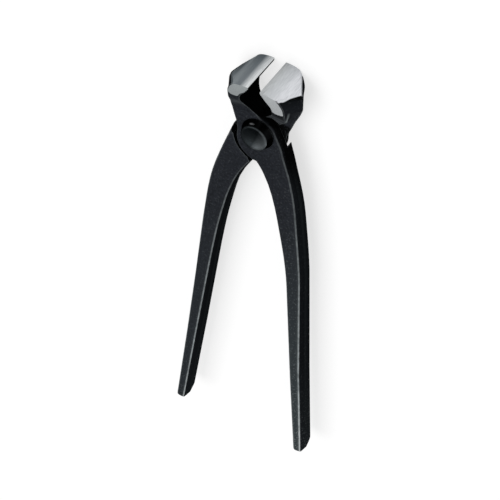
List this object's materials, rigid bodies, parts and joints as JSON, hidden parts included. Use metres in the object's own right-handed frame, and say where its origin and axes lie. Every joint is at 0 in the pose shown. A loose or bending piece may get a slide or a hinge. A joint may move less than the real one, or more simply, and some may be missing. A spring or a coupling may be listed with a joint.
{
  "type": "end cutting pincers",
  "caption": "Pincers with long slim handles: crossed forged levers in a half-lap joint on one round-headed rivet, with ground cutting jaws, lying part open.",
  "frame": {"origin": "middle of the tool's outline seen from the front, on the surface that it lies on", "axes": "+Y from the handles to the jaws, +Z out of the front, along the rivet, +X to the right seen from the front"},
  "size_m": [0.0714, 0.2236, 0.0227],
  "materials": {
    "lever_steel": "forged steel, blackened by heat treatment, with bright ground jaw tops and cheeks",
    "rivet_steel": "turned steel, blackened, satin"
  },
  "bodies": {
    "front": {"front_lever": "lever_steel", "rivet": "rivet_steel"},
    "rear": {"rear_lever": "lever_steel"}
  },
  "joints": [
    {"name": "jaw_pivot", "type": "hinge", "parent": "front", "child": "rear", "pos_m": [0, 0.08308, 0.01135], "axis": [0, 0, -1], "range_deg": [-10.7, 25]}
  ]
}
